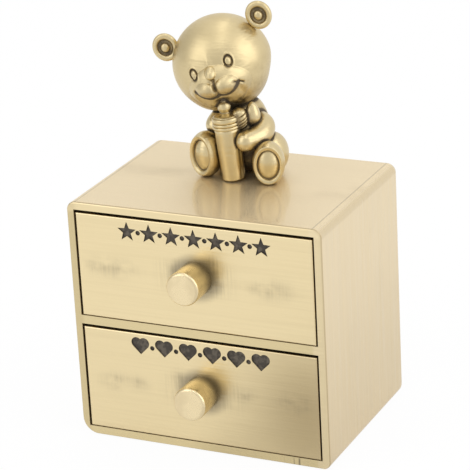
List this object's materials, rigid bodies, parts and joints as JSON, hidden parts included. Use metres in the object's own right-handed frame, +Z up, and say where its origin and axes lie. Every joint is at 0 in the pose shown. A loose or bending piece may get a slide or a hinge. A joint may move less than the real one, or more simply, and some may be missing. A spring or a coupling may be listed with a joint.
{
  "type": "baby tooth box",
  "caption": "Small brass-finished keepsake case with sliding drawers on round knobs, and a seated bear cub drinking from a bottle on its top.",
  "frame": {"origin": "middle of the felt pad's underside, on the surface that the case rests on", "axes": "+Z up, +X to the right as seen from the front, +Y to the back; the drawers pull out along -Y"},
  "size_m": [0.055, 0.0477, 0.086],
  "materials": {
    "case_brass": "pale antique brass plate, brushed satin",
    "front_brass": "pale antique brass plate, brushed side to side, ornament filled dark",
    "tray_brass": "plain satin brass plate",
    "knob_brass": "turned and lightly brushed brass plate",
    "bear_brass": "polished cast brass plate with dark patina in its creases",
    "screw_steel": "plain steel",
    "drawer_velvet": "short black velvet pile",
    "base_felt": "black felt"
  },
  "bodies": {
    "case": {"case_shell": "case_brass", "divider_shelf": "case_brass", "back_plate": "case_brass", "back_plate_screws": "screw_steel", "base_felt": "base_felt", "bear_torso": "bear_brass", "bear_head": "bear_brass", "bear_left_arm": "bear_brass", "bear_right_arm": "bear_brass", "bear_left_leg": "bear_brass", "bear_right_leg": "bear_brass", "feeding_bottle": "bear_brass", "bear_fixing_screw": "screw_steel"},
    "upper_drawer": {"upper_front": "front_brass", "upper_tray": "tray_brass", "upper_knob": "knob_brass", "upper_knob_screw": "screw_steel", "upper_liner": "drawer_velvet"},
    "lower_drawer": {"lower_front": "front_brass", "lower_tray": "tray_brass", "lower_knob": "knob_brass", "lower_knob_screw": "screw_steel", "lower_liner": "drawer_velvet"}
  },
  "joints": [
    {"name": "upper_drawer_slide", "type": "slide", "parent": "case", "child": "upper_drawer", "axis": [0, -1, 0], "range_m": [0, 0.028]},
    {"name": "lower_drawer_slide", "type": "slide", "parent": "case", "child": "lower_drawer", "axis": [0, -1, 0], "range_m": [0, 0.028]}
  ]
}
